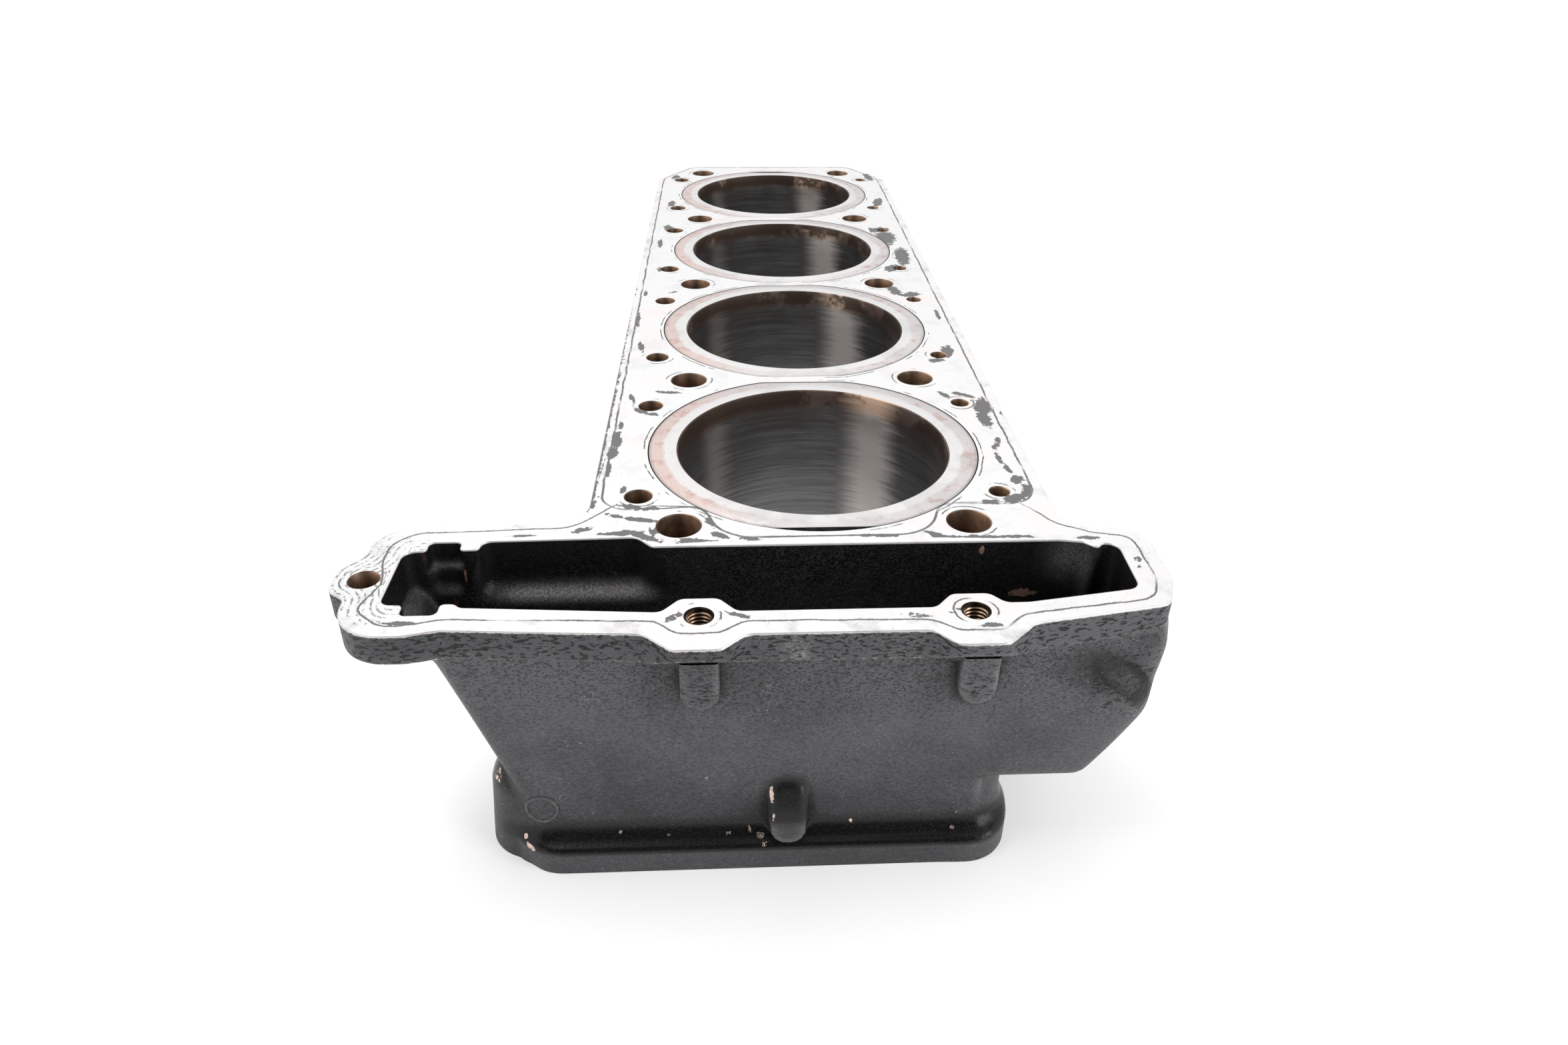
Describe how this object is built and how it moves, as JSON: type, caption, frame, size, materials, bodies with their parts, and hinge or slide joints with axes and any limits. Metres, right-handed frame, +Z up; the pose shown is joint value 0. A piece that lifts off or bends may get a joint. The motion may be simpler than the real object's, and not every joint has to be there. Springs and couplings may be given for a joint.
{
  "type": "engine cylinder block",
  "caption": "Long closed-deck engine block with wet liners hung in a row, stud and coolant holes, and a chain tunnel with overhanging ends across the front.",
  "frame": {"origin": "centre of the bounding box's bottom face, in the plane of the base joint face", "axes": "+Z up, out of the deck; +Y along the row of bores, away from the chain tunnel; +X towards the end of the tunnel with the chamfered overhang"},
  "size_m": [0.1932, 0.436, 0.07],
  "materials": {
    "casting": "satin black over cast aluminium, machined bare on the deck",
    "liner": "honed bore, ground collar",
    "seal": "matt black"
  },
  "bodies": {
    "root": {"cylinder_block": "casting", "liner_1": "liner", "liner_2": "liner", "liner_3": "liner", "liner_4": "liner", "liner_seal_1": "seal", "liner_seal_2": "seal", "liner_seal_3": "seal", "liner_seal_4": "seal"}
  },
  "joints": []
}
